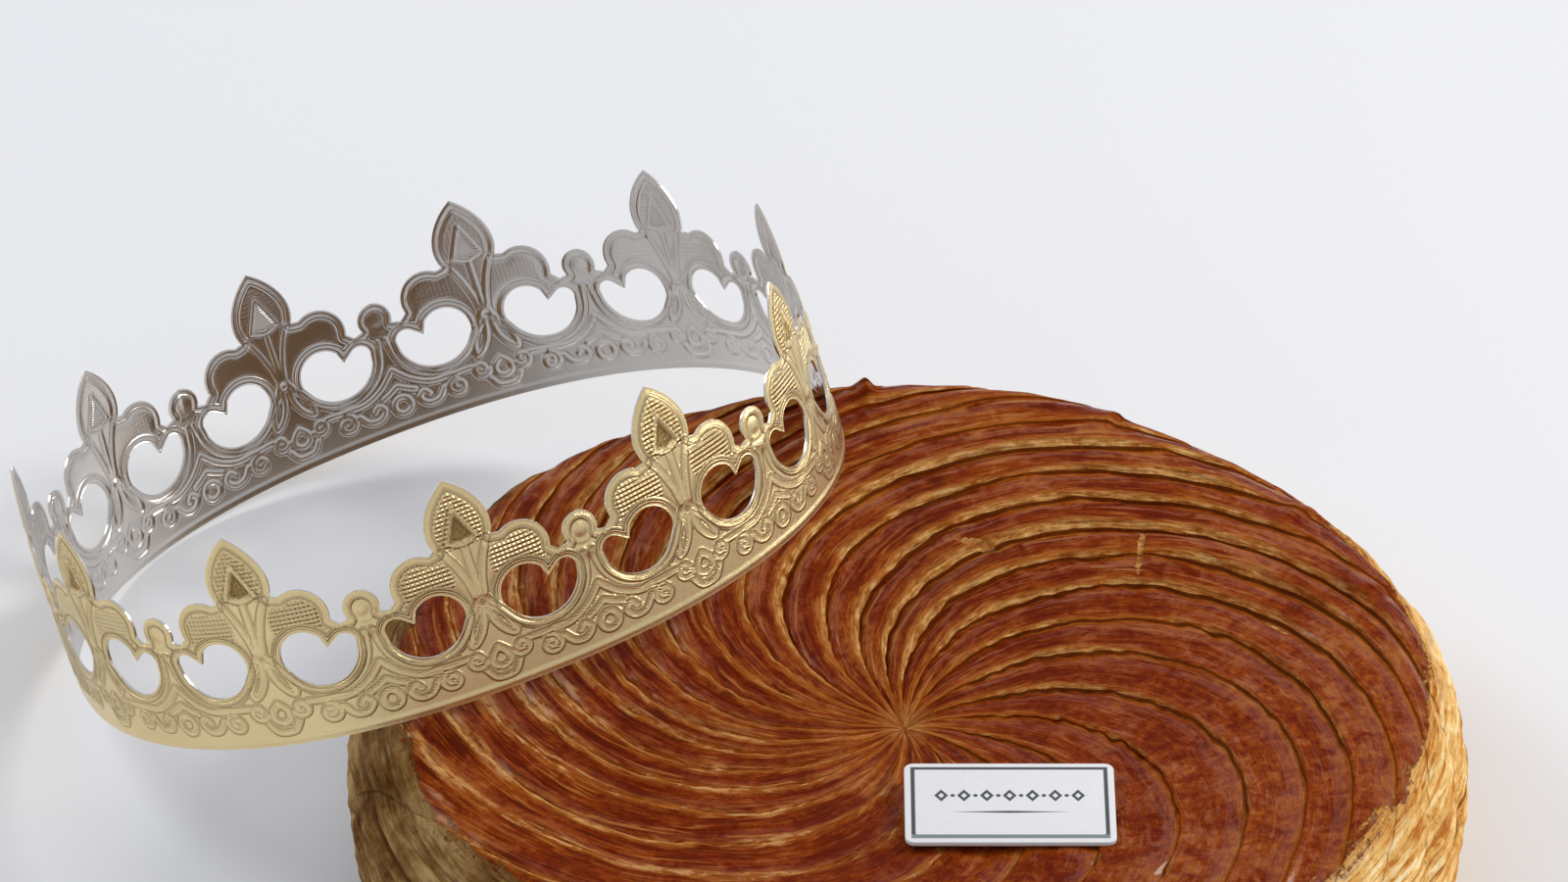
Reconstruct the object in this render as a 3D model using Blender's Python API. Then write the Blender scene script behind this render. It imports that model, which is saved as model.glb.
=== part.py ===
"""A galette des rois with its paper crown and its card label.

The galette is a round of puff pastry, scored with curved cuts that swirl out
from its middle. The crown leans on its rim with the lowest point of the band
down on the surface, and the label lies on the ridges. Metres, +Z up. The origin
is on the underside, at the middle of the galette.
"""

import math

import bmesh
import bpy
from mathutils import Matrix, Vector

# Pastry
CUTS = 24                      # curved knife cuts round the top
STEPS_PER_CUT = 6              # mesh columns from one cut to the next
FIRST_CUT = 3.4                # degrees
SPREADS = ((1, 18.2, 7.0), (2, 4.7, 51.4))   # waves in the cuts' spacing: count, degrees, place
CUT_DEPTH = 0.0020             # ridge top down to the bottom of a cut
FLUTE_DEPTH = 0.0012           # how far the cuts dent the side
SWIRL_OFFSET = -0.0080         # the swirl's middle sits off the round's middle, along Y
TURN_PER_METRE = -175.0        # degrees a cut turns near the middle, clockwise outwards
TURN_PER_METRE_SQ = -5625.0    # and how fast that turn grows with the radius
PIP_HEIGHT = 0.0460            # the pierced middle, the lowest point of the top
# Radius, height, share of the full cut depth and of the full flute depth, from the foot up
PROFILE = (
    (0.1210, 0.0000, 0.0, 0.0),
    (0.1252, 0.0035, 0.0, 0.4),
    (0.1284, 0.0120, 0.0, 0.8),
    (0.1300, 0.0240, 0.0, 1.0),
    (0.1292, 0.0350, 0.0, 1.0),
    (0.1258, 0.0440, 0.3, 1.0),
    (0.1205, 0.0500, 0.7, 0.6),
    (0.1140, 0.0529, 1.0, 0.2),
    (0.1040, 0.0534, 1.0, 0.0),
    (0.0920, 0.0528, 1.0, 0.0),
    (0.0790, 0.0519, 1.0, 0.0),
    (0.0650, 0.0509, 1.0, 0.0),
    (0.0510, 0.0500, 1.0, 0.0),
    (0.0370, 0.0491, 0.9, 0.0),
    (0.0240, 0.0482, 0.7, 0.0),
    (0.0120, 0.0474, 0.5, 0.0),
)
SHOULDER_RADIUS = 0.1205       # where the top turns over into the side
WOBBLES = ((3, 0.0007, 40.0), (5, 0.0005, 110.0))   # the outline's waves: count, size, place

# Label
LABEL_LENGTH = 0.0480
LABEL_DEPTH = 0.0290
LABEL_THICKNESS = 0.0012
LABEL_CORNER = 0.0022          # radius of its corners
LABEL_PLACE = (0.0235, -0.0443)
LABEL_BASE = 0.0513            # underside, just clear of the ridges
CORNER_STEPS = 4

# Crown: a band that stands on an oval, cut to a row of fleurs-de-lis
FLEURS = 11
OVAL_LONG = 0.0957             # half of the oval's length
OVAL_SHORT = 0.0891            # half of its width
OVAL_POWER = 2.18              # 2 is an ellipse, more is squarer
OVAL_TURN = 55.2               # degrees from the lean to the oval's long axis
FIRST_FLEUR = 0.1435           # share of the way round where the first fleur stands
CARD = 0.0006                  # thickness of the embossed card
COLUMNS = 5                    # flat facets across one fleur
LEAN = 21.2                    # degrees that the crown leans
LEAN_HEADING = 142.8           # degrees, the way that its axis leans
CROWN_PLACE = (-0.1056, 0.0748, 0.0346)
OVAL_SAMPLES = 1440
LEAF_STEPS = 4
LOBE_STEPS = 5
DISC_STEPS = 3

# One half of a fleur, from its axis out to the middle of the disc beside it
LEAF_TIP = 0.0540              # height of the crown
LEAF_BULGE = ((0.0058, 0.0500), (0.0096, 0.0432))
LEAF_FOOT = (0.0068, 0.0376)
LOBE_MIDDLE = (0.0124, 0.0314)
LOBE_RADIUS = 0.0069
LOBE_SWEEP = (122.0, -18.0)    # degrees, from the leaf over the top to the notch
NOTCH = (0.0208, 0.0276)       # dip between a side lobe and the disc
DISC_HEIGHT = 0.0303
DISC_RADIUS = 0.0043
DISC_SWEEP = (208.0, 90.0)
# The heart-shaped cut-out under a side lobe
HOLE_HEAD = (0.0106, 0.0216)
HOLE_HEAD_RADIUS = 0.0061
HOLE_HEAD_SWEEP = (42.0, 196.0)
HOLE_BELLY = (0.0140, 0.0228)
HOLE_BELLY_RADIUS = 0.0094
HOLE_BELLY_SWEEP = (218.0, 342.0)
HOLE_TAIL = (0.0207, 0.0226)
HOLE_TAIL_RADIUS = 0.0027
HOLE_TAIL_SWEEP = (10.0, 130.0)
HOLE_BARB = (0.0163, 0.0226)   # the lobe's curled point, which hangs into the cut-out


def clear_scene():
    for old in list(bpy.data.objects):
        bpy.data.objects.remove(old, do_unlink=True)


def material(name, colour, roughness, metallic=0.0):
    made = bpy.data.materials.new(name)
    made.use_nodes = True
    shader = made.node_tree.nodes["Principled BSDF"]
    shader.inputs["Base Color"].default_value = (*colour, 1.0)
    shader.inputs["Roughness"].default_value = roughness
    shader.inputs["Metallic"].default_value = metallic
    return made


def add_object(name, bm, finish):
    mesh = bpy.data.meshes.new(name)
    bm.to_mesh(mesh)
    bm.free()
    mesh.materials.append(finish)
    made = bpy.data.objects.new(name, mesh)
    bpy.context.scene.collection.objects.link(made)
    return made


# ---- pastry ----

def cut_turn(radius):
    """Angle that a cut has turned through by the time it reaches a radius."""
    return math.radians(TURN_PER_METRE * radius + TURN_PER_METRE_SQ * radius ** 2)


def uneven(even):
    """An even angle round the top, shifted as the hand-made cuts bunch up and open out."""
    return even + sum(math.radians(size) * math.sin(count * even + math.radians(place))
                      for count, size, place in SPREADS)


def wobble(angle, radius):
    """How far the hand-made outline strays from a true round."""
    waves = sum(size * math.sin(count * angle + math.radians(place)) for count, size, place in WOBBLES)
    return waves * (radius / SHOULDER_RADIUS) ** 2


def pastry_point(column, radius, height, cut_share, flute_share):
    """A point of the pastry's skin in one column of one ring."""
    place = column % STEPS_PER_CUT / STEPS_PER_CUT
    dip = (0.5 + 0.5 * math.cos(math.tau * place)) ** 3
    even = math.radians(FIRST_CUT) + math.tau * column / (CUTS * STEPS_PER_CUT)
    angle = uneven(even) + cut_turn(radius)
    out = radius + wobble(angle, radius) - FLUTE_DEPTH * flute_share * dip
    shift = SWIRL_OFFSET * max(0.0, 1.0 - (radius / SHOULDER_RADIUS) ** 2)
    return Vector((out * math.cos(angle), out * math.sin(angle) + shift,
                   height - CUT_DEPTH * cut_share * dip))


def build_galette():
    columns = CUTS * STEPS_PER_CUT
    bm = bmesh.new()
    made = bmesh.ops.create_circle(bm, cap_ends=True, segments=columns, radius=PROFILE[0][0])
    ring = made["verts"]
    bmesh.ops.reverse_faces(bm, faces=bm.faces[:])
    for column, vert in enumerate(ring):
        vert.co = pastry_point(column, *PROFILE[0])
    edges = bm.edges[:]
    for station in PROFILE[1:]:
        grown = bmesh.ops.extrude_edge_only(bm, edges=edges)["geom"]
        edges = [part for part in grown if isinstance(part, bmesh.types.BMEdge)]
        raised = [part for part in grown if isinstance(part, bmesh.types.BMVert)]
        for column, vert in enumerate(raised):
            vert.co = pastry_point(column, *station)
    middle = bm.verts.new((0.0, SWIRL_OFFSET, PIP_HEIGHT))
    for edge in edges:
        bm.faces.new((*edge.verts, middle))
    bmesh.ops.recalc_face_normals(bm, faces=bm.faces[:])
    return add_object("galette", bm, material("baked_pastry", (0.42, 0.13, 0.03), 0.35))


# ---- label ----

def build_label():
    bm = bmesh.new()
    bmesh.ops.create_cube(bm, size=1.0)
    bmesh.ops.scale(bm, verts=bm.verts[:], vec=(LABEL_LENGTH, LABEL_DEPTH, LABEL_THICKNESS))
    corners = [edge for edge in bm.edges
               if abs(edge.verts[0].co.z - edge.verts[1].co.z) > LABEL_THICKNESS / 2]
    bmesh.ops.bevel(bm, geom=corners, offset=LABEL_CORNER, offset_type="OFFSET",
                    segments=CORNER_STEPS, profile=0.5, affect="EDGES", material=-1)
    label = add_object("label", bm, material("white_card", (0.86, 0.86, 0.87), 0.45))
    label.location = (*LABEL_PLACE, LABEL_BASE + LABEL_THICKNESS / 2)
    return label


# ---- crown ----

def oval_table():
    """Points round the oval, with the length of band from the first one to each."""
    points, lengths = [], [0.0]
    for step in range(OVAL_SAMPLES + 1):
        angle = math.tau * step / OVAL_SAMPLES
        across, along = math.sin(angle), math.cos(angle)
        points.append(Vector((
            OVAL_LONG * math.copysign(abs(along) ** (2 / OVAL_POWER), along),
            OVAL_SHORT * math.copysign(abs(across) ** (2 / OVAL_POWER), across),
        )))
        if step:
            lengths.append(lengths[-1] + (points[-1] - points[-2]).length)
    return points, lengths


def oval_at(length, points, lengths):
    """The point at a length of band round the oval."""
    length %= lengths[-1]
    low, high = 0, OVAL_SAMPLES
    while high - low > 1:
        middle = (low + high) // 2
        low, high = (middle, high) if lengths[middle] <= length else (low, middle)
    share = (length - lengths[low]) / (lengths[high] - lengths[low])
    return points[low].lerp(points[high], share)


def arc(middle, radius, sweep, steps):
    """Points of an arc, from one angle in degrees to another."""
    start, end = sweep
    angles = [math.radians(start + (end - start) * step / steps) for step in range(steps + 1)]
    return [(middle[0] + radius * math.cos(angle), middle[1] + radius * math.sin(angle))
            for angle in angles]


def leaf_side(steps):
    """The right side of the middle leaf, from its tip down to its foot, as a cubic curve."""
    ends = ((0.0, LEAF_TIP), *LEAF_BULGE, LEAF_FOOT)
    points = []
    for step in range(steps + 1):
        t = step / steps
        shares = ((1 - t) ** 3, 3 * t * (1 - t) ** 2, 3 * t * t * (1 - t), t ** 3)
        points.append(tuple(sum(share * end[axis] for share, end in zip(shares, ends))
                            for axis in range(2)))
    return points


def fleur_edge(half):
    """The top edge of half a fleur, from its axis out to the middle of the disc."""
    points = leaf_side(LEAF_STEPS)
    points += arc(LOBE_MIDDLE, LOBE_RADIUS, LOBE_SWEEP, LOBE_STEPS)
    points.append(NOTCH)
    points += arc((half, DISC_HEIGHT), DISC_RADIUS, DISC_SWEEP, DISC_STEPS)
    return points


def hole_edge():
    """The heart-shaped cut-out under the right side lobe."""
    points = [HOLE_BARB]
    points += arc(HOLE_HEAD, HOLE_HEAD_RADIUS, HOLE_HEAD_SWEEP, LOBE_STEPS)
    points += arc(HOLE_BELLY, HOLE_BELLY_RADIUS, HOLE_BELLY_SWEEP, LOBE_STEPS)
    points += arc(HOLE_TAIL, HOLE_TAIL_RADIUS, HOLE_TAIL_SWEEP, DISC_STEPS)
    return points


def add_loop(bm, points):
    verts = [bm.verts.new((*point, 0.0)) for point in points]
    for start, end in zip(verts, verts[1:] + verts[:1]):
        bm.edges.new((start, end))


def flat_fleur(half):
    """One fleur of the strip, flat in XY, with its two cut-outs."""
    bm = bmesh.new()
    right = fleur_edge(half)
    left = [(-across, up) for across, up in reversed(right[1:])]
    add_loop(bm, [(-half, 0.0), *left, *right, (half, 0.0)])
    for side in (1, -1):
        add_loop(bm, [(side * across, up) for across, up in hole_edge()])
    bmesh.ops.triangle_fill(bm, edges=bm.edges[:], use_beauty=True)
    return bm


def build_crown():
    points, lengths = oval_table()
    pitch = lengths[-1] / FLEURS
    strip = flat_fleur(pitch / 2)
    for column in range(1, COLUMNS):
        across = pitch * (column / COLUMNS - 0.5)
        bmesh.ops.bisect_plane(strip, geom=strip.verts[:] + strip.edges[:] + strip.faces[:],
                               dist=1e-6, plane_co=(across, 0, 0), plane_no=(1, 0, 0))
    one_fleur = strip.verts[:] + strip.edges[:] + strip.faces[:]
    for number in range(1, FLEURS):
        copied = bmesh.ops.duplicate(strip, geom=one_fleur)["geom"]
        verts = [part for part in copied if isinstance(part, bmesh.types.BMVert)]
        bmesh.ops.translate(strip, verts=verts, vec=(pitch * number, 0, 0))
    start = FIRST_FLEUR * lengths[-1]
    for vert in strip.verts:
        place = oval_at(start - vert.co.x, points, lengths)
        vert.co = (place.x, place.y, vert.co.y)
    bmesh.ops.remove_doubles(strip, verts=strip.verts[:], dist=1e-5)
    bmesh.ops.recalc_face_normals(strip, faces=strip.faces[:])
    bmesh.ops.solidify(strip, geom=strip.faces[:], thickness=CARD)
    bmesh.ops.recalc_face_normals(strip, faces=strip.faces[:])
    bmesh.ops.triangulate(strip, faces=strip.faces[:])
    bmesh.ops.rotate(strip, verts=strip.verts[:], cent=(0, 0, 0),
                     matrix=Matrix.Rotation(math.radians(OVAL_TURN), 3, "Z"))
    crown = add_object("crown", strip, material("gold_card", (0.72, 0.58, 0.30), 0.3, 1.0))
    crown.rotation_euler = (0.0, math.radians(LEAN), math.radians(LEAN_HEADING))
    crown.location = CROWN_PLACE
    return crown


def main():
    clear_scene()
    build_galette()
    build_label()
    build_crown()


main()
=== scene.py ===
"""Looks of the galette des rois: baked crust, flaky side, embossed crown and card label.

Metres, +Z up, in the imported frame's own place. The pastry pieces share one swirl: every cut
runs out from the middle, turning clockwise, and the mesh columns run along with the cuts.
"""

import math
import random

import bmesh
import bpy
from mathutils import Matrix, Vector, kdtree, noise


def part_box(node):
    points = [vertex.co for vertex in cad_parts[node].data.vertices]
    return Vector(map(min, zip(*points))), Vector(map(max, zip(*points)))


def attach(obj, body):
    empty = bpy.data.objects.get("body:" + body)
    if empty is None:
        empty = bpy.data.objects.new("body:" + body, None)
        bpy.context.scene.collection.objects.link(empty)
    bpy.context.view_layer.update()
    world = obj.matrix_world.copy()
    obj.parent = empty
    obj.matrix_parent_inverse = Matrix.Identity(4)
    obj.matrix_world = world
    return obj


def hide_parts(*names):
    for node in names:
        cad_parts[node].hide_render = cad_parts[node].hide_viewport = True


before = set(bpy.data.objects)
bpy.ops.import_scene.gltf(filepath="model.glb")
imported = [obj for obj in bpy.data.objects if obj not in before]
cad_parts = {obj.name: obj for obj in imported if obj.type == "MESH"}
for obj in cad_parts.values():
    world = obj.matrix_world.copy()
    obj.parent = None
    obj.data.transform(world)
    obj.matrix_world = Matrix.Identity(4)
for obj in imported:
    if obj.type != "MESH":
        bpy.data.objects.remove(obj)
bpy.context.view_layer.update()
crust_low, crust_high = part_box("galette")
crown_low, crown_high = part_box("crown")
label_low, label_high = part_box("label")

MM = 0.001
RADIUS = (crust_high.x - crust_low.x + crust_high.y - crust_low.y) / 4
HEIGHT = crust_high.z

# ---- pastry sizes ----
CUTS = 24
COLUMNS_PER_CUT = 22
COLUMN_PULL = 0.5              # how strongly the columns crowd towards the cuts
FIRST_CUT = 3.4                # degrees
SPREADS = ((1, 18.2, 7.0), (2, 4.7, 51.4))   # waves in the cuts' spacing: count, degrees, place
WOBBLES = ((3, 0.7 * MM, 40.0), (5, 0.5 * MM, 110.0))
TURN_PER_METRE = -175.0
TURN_PER_METRE_SQ = -5625.0
SHOULDER = 0.927 * RADIUS      # where the top turns over into the side
SWIRL_OFFSET = -8.0 * MM
# The round's section from the foot up over the shoulder to the middle: shares of RADIUS and HEIGHT
SECTION = (
    (0.931, 0.000), (0.963, 0.066), (0.988, 0.225), (1.000, 0.449), (0.994, 0.655),
    (0.968, 0.824), (0.927, 0.936), (0.877, 0.991), (0.800, 1.000), (0.708, 0.989),
    (0.608, 0.972), (0.500, 0.953), (0.392, 0.936), (0.285, 0.919), (0.185, 0.903),
    (0.092, 0.888), (0.030, 0.872), (0.000, 0.850),
)
SKIRT = 3.75                   # place along SECTION where the crust's lower edge lies
RIDGE_CROWN = 1.0 * MM         # how far a ridge falls from its crest to the lip of the cut
RIDGE_TILT = 1.0 * MM          # how much higher a ridge's torn lip is than its rolled edge
ALONG_RIDGE = 0.72 * MM        # mesh size along a ridge
CRUST_PIECES = 2
LEAF_PITCH = 2.3 * MM          # thickness of a baked leaf in the side
FOLD_PITCH = 8.5 * MM
SIDE_COLUMNS = 1000
# Skin that stands up at the rim: from and to (degrees) with their ramps, and its height in mm
RIM_LIFTS = ((63.0, 1.2, 140.0, 50.0, 1.9), (92.6, 1.4, 95.6, 1.6, 2.6), (34.0, 1.5, 39.0, 3.0, 1.3),
             (17.5, 1.5, 24.0, 5.0, 1.0))
# How wide each cut gapes, 0 to 1, from FIRST_CUT round to the left
GAPES = (0.36, 0.40, 0.24, 0.10, 0.20, 0.52, 0.66, 0.40, 0.30, 0.86, 0.06, 0.06,
         0.26, 0.34, 0.42, 0.44, 0.40, 0.30, 0.16, 0.30, 0.24, 0.12, 0.20, 0.34)
# Where a cut tears wider: cut, distance from the middle and reach in mm, and how much
TORN_CUTS = ((8, 106, 10, 0.75), (3, 96, 16, 0.45), (4, 98, 14, 0.40), (5, 102, 10, 0.25), (19, 88, 20, 0.85),
             (17, 76, 14, 0.45), (20, 62, 16, 0.50), (6, 64, 12, 0.35), (10, 118, 8, 0.40), (2, 84, 12, 0.25))
# Places where the skin is torn down to the dough: middle in mm, heading, length and width in mm
TEARS = ((56.4, 52.0, 83.0, 22.0, 1.6), (18.0, 57.0, -22.0, 15.0, 3.6), (72.0, 48.5, -30.0, 8.0, 1.8),
         (86.0, 24.0, -48.0, 12.0, 1.6))
SEED = 11

# ---- crown sizes ----
FLEURS = 11
OVAL_LONG = 95.7 * MM
OVAL_SHORT = 89.1 * MM
OVAL_POWER = 2.18
OVAL_TURN = 55.2
FIRST_FLEUR = 0.1435
LEAN = 21.2
LEAN_HEADING = 142.8
TIP_LEANS = (-0.3, -1.2, -1.4, -3.0, -0.8, 0.4, 0.6, -0.3, 0.0, -1.0, 0.3)   # mm outwards, by fleur
CARD = 0.5 * MM
FLAT_CELL = 0.5 * MM           # mesh size of the flat card
OVAL_SAMPLES = 1440
LEAF_TIP = 54.0 * MM
LEAF_BULGE = ((5.8 * MM, 50.0 * MM), (9.6 * MM, 43.2 * MM))
LEAF_FOOT = (6.8 * MM, 37.6 * MM)
LOBE_MIDDLE = (12.4 * MM, 31.4 * MM)
LOBE_RADIUS = 6.9 * MM
LOBE_SWEEP = (122.0, -18.0)
NOTCH = (20.8 * MM, 27.6 * MM)
DISC_HEIGHT = 30.3 * MM
DISC_RADIUS = 4.3 * MM
DISC_SWEEP = (208.0, 90.0)
HOLE_HEAD = (10.6 * MM, 21.6 * MM)
HOLE_HEAD_RADIUS = 6.1 * MM
HOLE_HEAD_SWEEP = (42.0, 196.0)
HOLE_BELLY = (14.0 * MM, 22.8 * MM)
HOLE_BELLY_RADIUS = 9.4 * MM
HOLE_BELLY_SWEEP = (218.0, 342.0)
HOLE_TAIL = (20.7 * MM, 22.6 * MM)
HOLE_TAIL_RADIUS = 2.7 * MM
HOLE_TAIL_SWEEP = (10.0, 130.0)
HOLE_BARB = (16.3 * MM, 22.6 * MM)


def smooth(low, high, value):
    """A smooth step from 0 at low to 1 at high; it steps down where low is above high."""
    share = min(1.0, max(0.0, (value - low) / (high - low)))
    return share * share * (3 - 2 * share)


def mix(start, end, share):
    return start + (end - start) * share


def bump_at(*place):
    """Plain noise at a place, about -1 to 1."""
    return noise.noise(Vector(place))


def along(points, place):
    """The point at a place along a smooth line through points, and the line's direction there."""
    last = len(points) - 1
    step = min(int(place), last - 1)
    t = place - step
    before = Vector(points[max(step - 1, 0)])
    start = Vector(points[step])
    end = Vector(points[step + 1])
    after = Vector(points[min(step + 2, last)])
    leave = (end - before) / 2
    arrive = (after - start) / 2
    a = 2 * (start - end) + leave + arrive
    b = 3 * (end - start) - 2 * leave - arrive
    return ((a * t + b) * t + leave) * t + start, (3 * a * t + 2 * b) * t + leave


# ---- shader tools ----

class Value:
    """An output of a shader node, used in expressions: each operator adds its Math node."""

    def __init__(self, finish, socket):
        self.finish = finish
        self.socket = socket

    def maths(self, operation, *values):
        return self.finish.node("Math", {"operation": operation}, dict(enumerate(values)))

    def __add__(self, other):
        return self.maths("ADD", self, other)

    def __sub__(self, other):
        return self.maths("SUBTRACT", self, other)

    def __rsub__(self, other):
        return self.maths("SUBTRACT", other, self)

    def __mul__(self, other):
        return self.maths("MULTIPLY", self, other)

    def __truediv__(self, other):
        return self.maths("DIVIDE", self, other)

    def __pow__(self, other):
        return self.maths("POWER", self, other)

    def __abs__(self):
        return self.maths("ABSOLUTE", self)

    def __neg__(self):
        return self * -1.0

    __radd__ = __add__
    __rmul__ = __mul__


class Finish:
    """A material on the making, with the Principled shader that every finish here ends in."""

    def __init__(self, name):
        self.material = bpy.data.materials.new(name)
        self.material.use_nodes = True
        self.tree = self.material.node_tree
        self.shader = self.tree.nodes["Principled BSDF"]

    def node(self, kind, settings=None, values=None, output=0):
        """Adds a node: its settings first, then the values or links of its sockets."""
        made = self.tree.nodes.new("ShaderNode" + kind)
        for name, setting in (settings or {}).items():
            if name == "stops":
                ramp = made.color_ramp.elements
                while len(ramp) < len(setting):
                    ramp.new(1.0)
                for stop, (place, colour) in zip(ramp, setting):
                    stop.position = place
                    stop.color = (*colour, 1.0)
            else:
                setattr(made, name, setting)
        for name, value in (values or {}).items():
            self.feed(made.inputs[name], value)
        return Value(self, made.outputs[output])

    def feed(self, socket, value):
        if isinstance(value, Value):
            self.tree.links.new(value.socket, socket)
        elif isinstance(value, tuple) and len(value) == 3 and socket.type == "RGBA":
            socket.default_value = (*value, 1.0)
        else:
            socket.default_value = value

    def attribute(self, name, output=2):
        return self.node("Attribute", {"attribute_name": name}, output=output)

    def place(self):
        return self.node("TexCoord", output=3)

    def scaled(self, vector, scale):
        return self.node("VectorMath", {"operation": "MULTIPLY"}, {0: vector, 1: scale})

    def grain(self, vector, scale, detail=3.0, roughness=0.55, distortion=0.0):
        return self.node("TexNoise", None, {"Vector": vector, "Scale": scale, "Detail": detail,
                                            "Roughness": roughness, "Distortion": distortion})

    def step(self, value, low, high):
        """A smooth step of a value, from 0 at low to 1 at high."""
        return self.node("MapRange", {"interpolation_type": "SMOOTHSTEP"},
                         {"Value": value, "From Min": low, "From Max": high})

    def band(self, value, middle, half):
        """1 where a value lies at middle, falling to 0 at half away from it."""
        return self.step(abs(value - middle), half, half * 0.3)

    def blend(self, share, start, end, how="MIX"):
        return self.node("Mix", {"data_type": "RGBA", "blend_type": how},
                         {0: share, 6: start, 7: end}, output=2)

    def ramp(self, value, *stops):
        return self.node("ValToRGB", {"stops": stops}, {"Fac": value})

    def bump(self, height, distance, strength=1.0, under=None):
        values = {"Height": height, "Distance": distance, "Strength": strength}
        if under:
            values["Normal"] = under
        return self.node("Bump", None, values)

    def end(self, **values):
        """Feeds the shader's own sockets, named with _ for a space."""
        for name, value in values.items():
            self.feed(self.shader.inputs[name.replace("_", " ")], value)
        return self.material


# ---- mesh tools ----

def grid_piece(columns, rows, point, layers=()):
    """A sheet of columns by rows, laid out by point(column, row), as a bmesh.

    point gives a place and the values of the named layers there. The sheet's own UV map runs
    from 0 to 1 both ways, so it has no jump where the sheet closes on itself.
    """
    bm = bmesh.new()
    bm.loops.layers.uv.new("sheet")
    stores = [getattr(bm.verts.layers, kind).new(name) for kind, name in layers]
    bmesh.ops.create_grid(bm, x_segments=columns, y_segments=rows, size=0.5, calc_uvs=True)
    for vert in bm.verts:
        column = round((vert.co.x + 0.5) * columns)
        row = round((vert.co.y + 0.5) * rows)
        place, values = point(column, row)
        vert.co = place
        for store, value in zip(stores, values):
            vert[store] = value
    return bm


def finished(name, bm, material, smooth_angle=None):
    """Makes an object of a bmesh that is already in place."""
    mesh = bpy.data.meshes.new(name)
    bm.to_mesh(mesh)
    bm.free()
    mesh.materials.append(material)
    mesh.shade_smooth()
    if smooth_angle:
        mesh.set_sharp_from_angle(angle=math.radians(smooth_angle))
    made = bpy.data.objects.new(name, mesh)
    bpy.context.scene.collection.objects.link(made)
    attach(made, "root")
    return made


def close_round(bm):
    """Joins a sheet that was laid round on itself, and closes its poles."""
    bmesh.ops.remove_doubles(bm, verts=bm.verts[:], dist=1e-6)
    bmesh.ops.recalc_face_normals(bm, faces=bm.faces[:])
    return bm


# ---- the swirl ----

chance = random.Random(SEED)
CUT_DRIFT = [math.radians(chance.uniform(-1.0, 1.0)) for _ in range(CUTS)]
CREST = [chance.uniform(-0.7, 0.1) * MM for _ in range(CUTS)]


def cut_turn(radius):
    """Angle that a cut has turned through by the time it reaches a radius."""
    return math.radians(TURN_PER_METRE * radius + TURN_PER_METRE_SQ * radius ** 2)


def cut_sweep(radius):
    """How far a cut runs round for each step that it runs out."""
    return math.radians(TURN_PER_METRE + 2 * TURN_PER_METRE_SQ * radius) * radius


def run_table(steps=400):
    """Length of a cut from the middle out to each of many even radii."""
    step = 1.1 * RADIUS / steps
    runs = [0.0]
    for number in range(steps):
        runs.append(runs[-1] + step * math.hypot(1, cut_sweep((number + 0.5) * step)))
    return step, runs


RUN_STEP, RUNS = run_table()


def run_length(radius):
    """Length of a cut from the middle out to a radius."""
    place = min(max(0.0, radius / RUN_STEP), len(RUNS) - 1.001)
    return mix(RUNS[int(place)], RUNS[int(place) + 1], place - int(place))


def uneven(even):
    return even + sum(math.radians(size) * math.sin(count * even + math.radians(place))
                      for count, size, place in SPREADS)


def cut_place(number, radius):
    """Where a cut lies at a radius, before the swirl turns it."""
    even = math.radians(FIRST_CUT) + math.tau * number / CUTS
    own = number % CUTS
    wander = math.radians(1.6) * bump_at(own * 7.3, radius * 45, 2.0)
    wander += math.radians(0.9) * bump_at(own * 4.1, radius * 260, 6.0)
    return uneven(even) + CUT_DRIFT[own] + wander


def openness(number, angle, radius):
    """How wide a cut gapes, 0 to 1: most at the back, least at the right of the middle."""
    own = number % CUTS
    back = GAPES[own] + 0.16 * math.sin(angle - math.radians(30)) - 0.34 * smooth(0.72, 0.98, radius / RADIUS)
    back -= 0.30 * smooth(70 * MM, 20 * MM, radius) * max(0.0, math.cos(angle + math.radians(40)))
    back += sum(gain * math.exp(-((radius / MM - middle) / reach) ** 2)
                for cut, middle, reach, gain in TORN_CUTS if cut == own)
    torn = 0.60 * bump_at(own * 3.1, radius * 34, 8.0) + 0.45 * bump_at(own * 5.7, radius * 120, 3.0)
    torn += 0.40 * bump_at(own * 2.3, radius * 360, 7.0)
    return min(1.0, max(0.03, back + torn))


def tear(spot):
    """How much a place on the crust is torn, 0 to 1."""
    most = 0.0
    for x, y, heading, length, width in TEARS:
        away = Vector((spot.x / MM - x, spot.y / MM - y))
        if away.length < length:
            way = Vector((math.cos(math.radians(heading)), math.sin(math.radians(heading))))
            reach = math.hypot(2 * away.dot(way) / length, 2 * away.cross(way) / width)
            most = max(most, smooth(1.2, 0.4, reach))
    return most


def wobble(angle, radius):
    waves = sum(size * math.sin(count * angle + math.radians(place)) for count, size, place in WOBBLES)
    return waves * (radius / SHOULDER) ** 2


def swirl_shift(radius):
    return SWIRL_OFFSET * max(0.0, 1.0 - (radius / SHOULDER) ** 2)


# ---- crust and side ----

def level_table(steps=20):
    """Length of the section from the foot up to each of many even places along it."""
    levels = [0.0]
    before = SECTION[0]
    for number in range(1, (len(SECTION) - 1) * steps + 1):
        point = along(SECTION, number / steps)[0]
        levels.append(levels[-1] + math.hypot((point[0] - before[0]) * RADIUS, (point[1] - before[1]) * HEIGHT))
        before = point
    return steps, levels


LEVEL_STEPS, LEVELS = level_table()


def level_at(place):
    spot = min(place * LEVEL_STEPS, len(LEVELS) - 1.001)
    return mix(LEVELS[int(spot)], LEVELS[int(spot) + 1], spot - int(spot))


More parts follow.
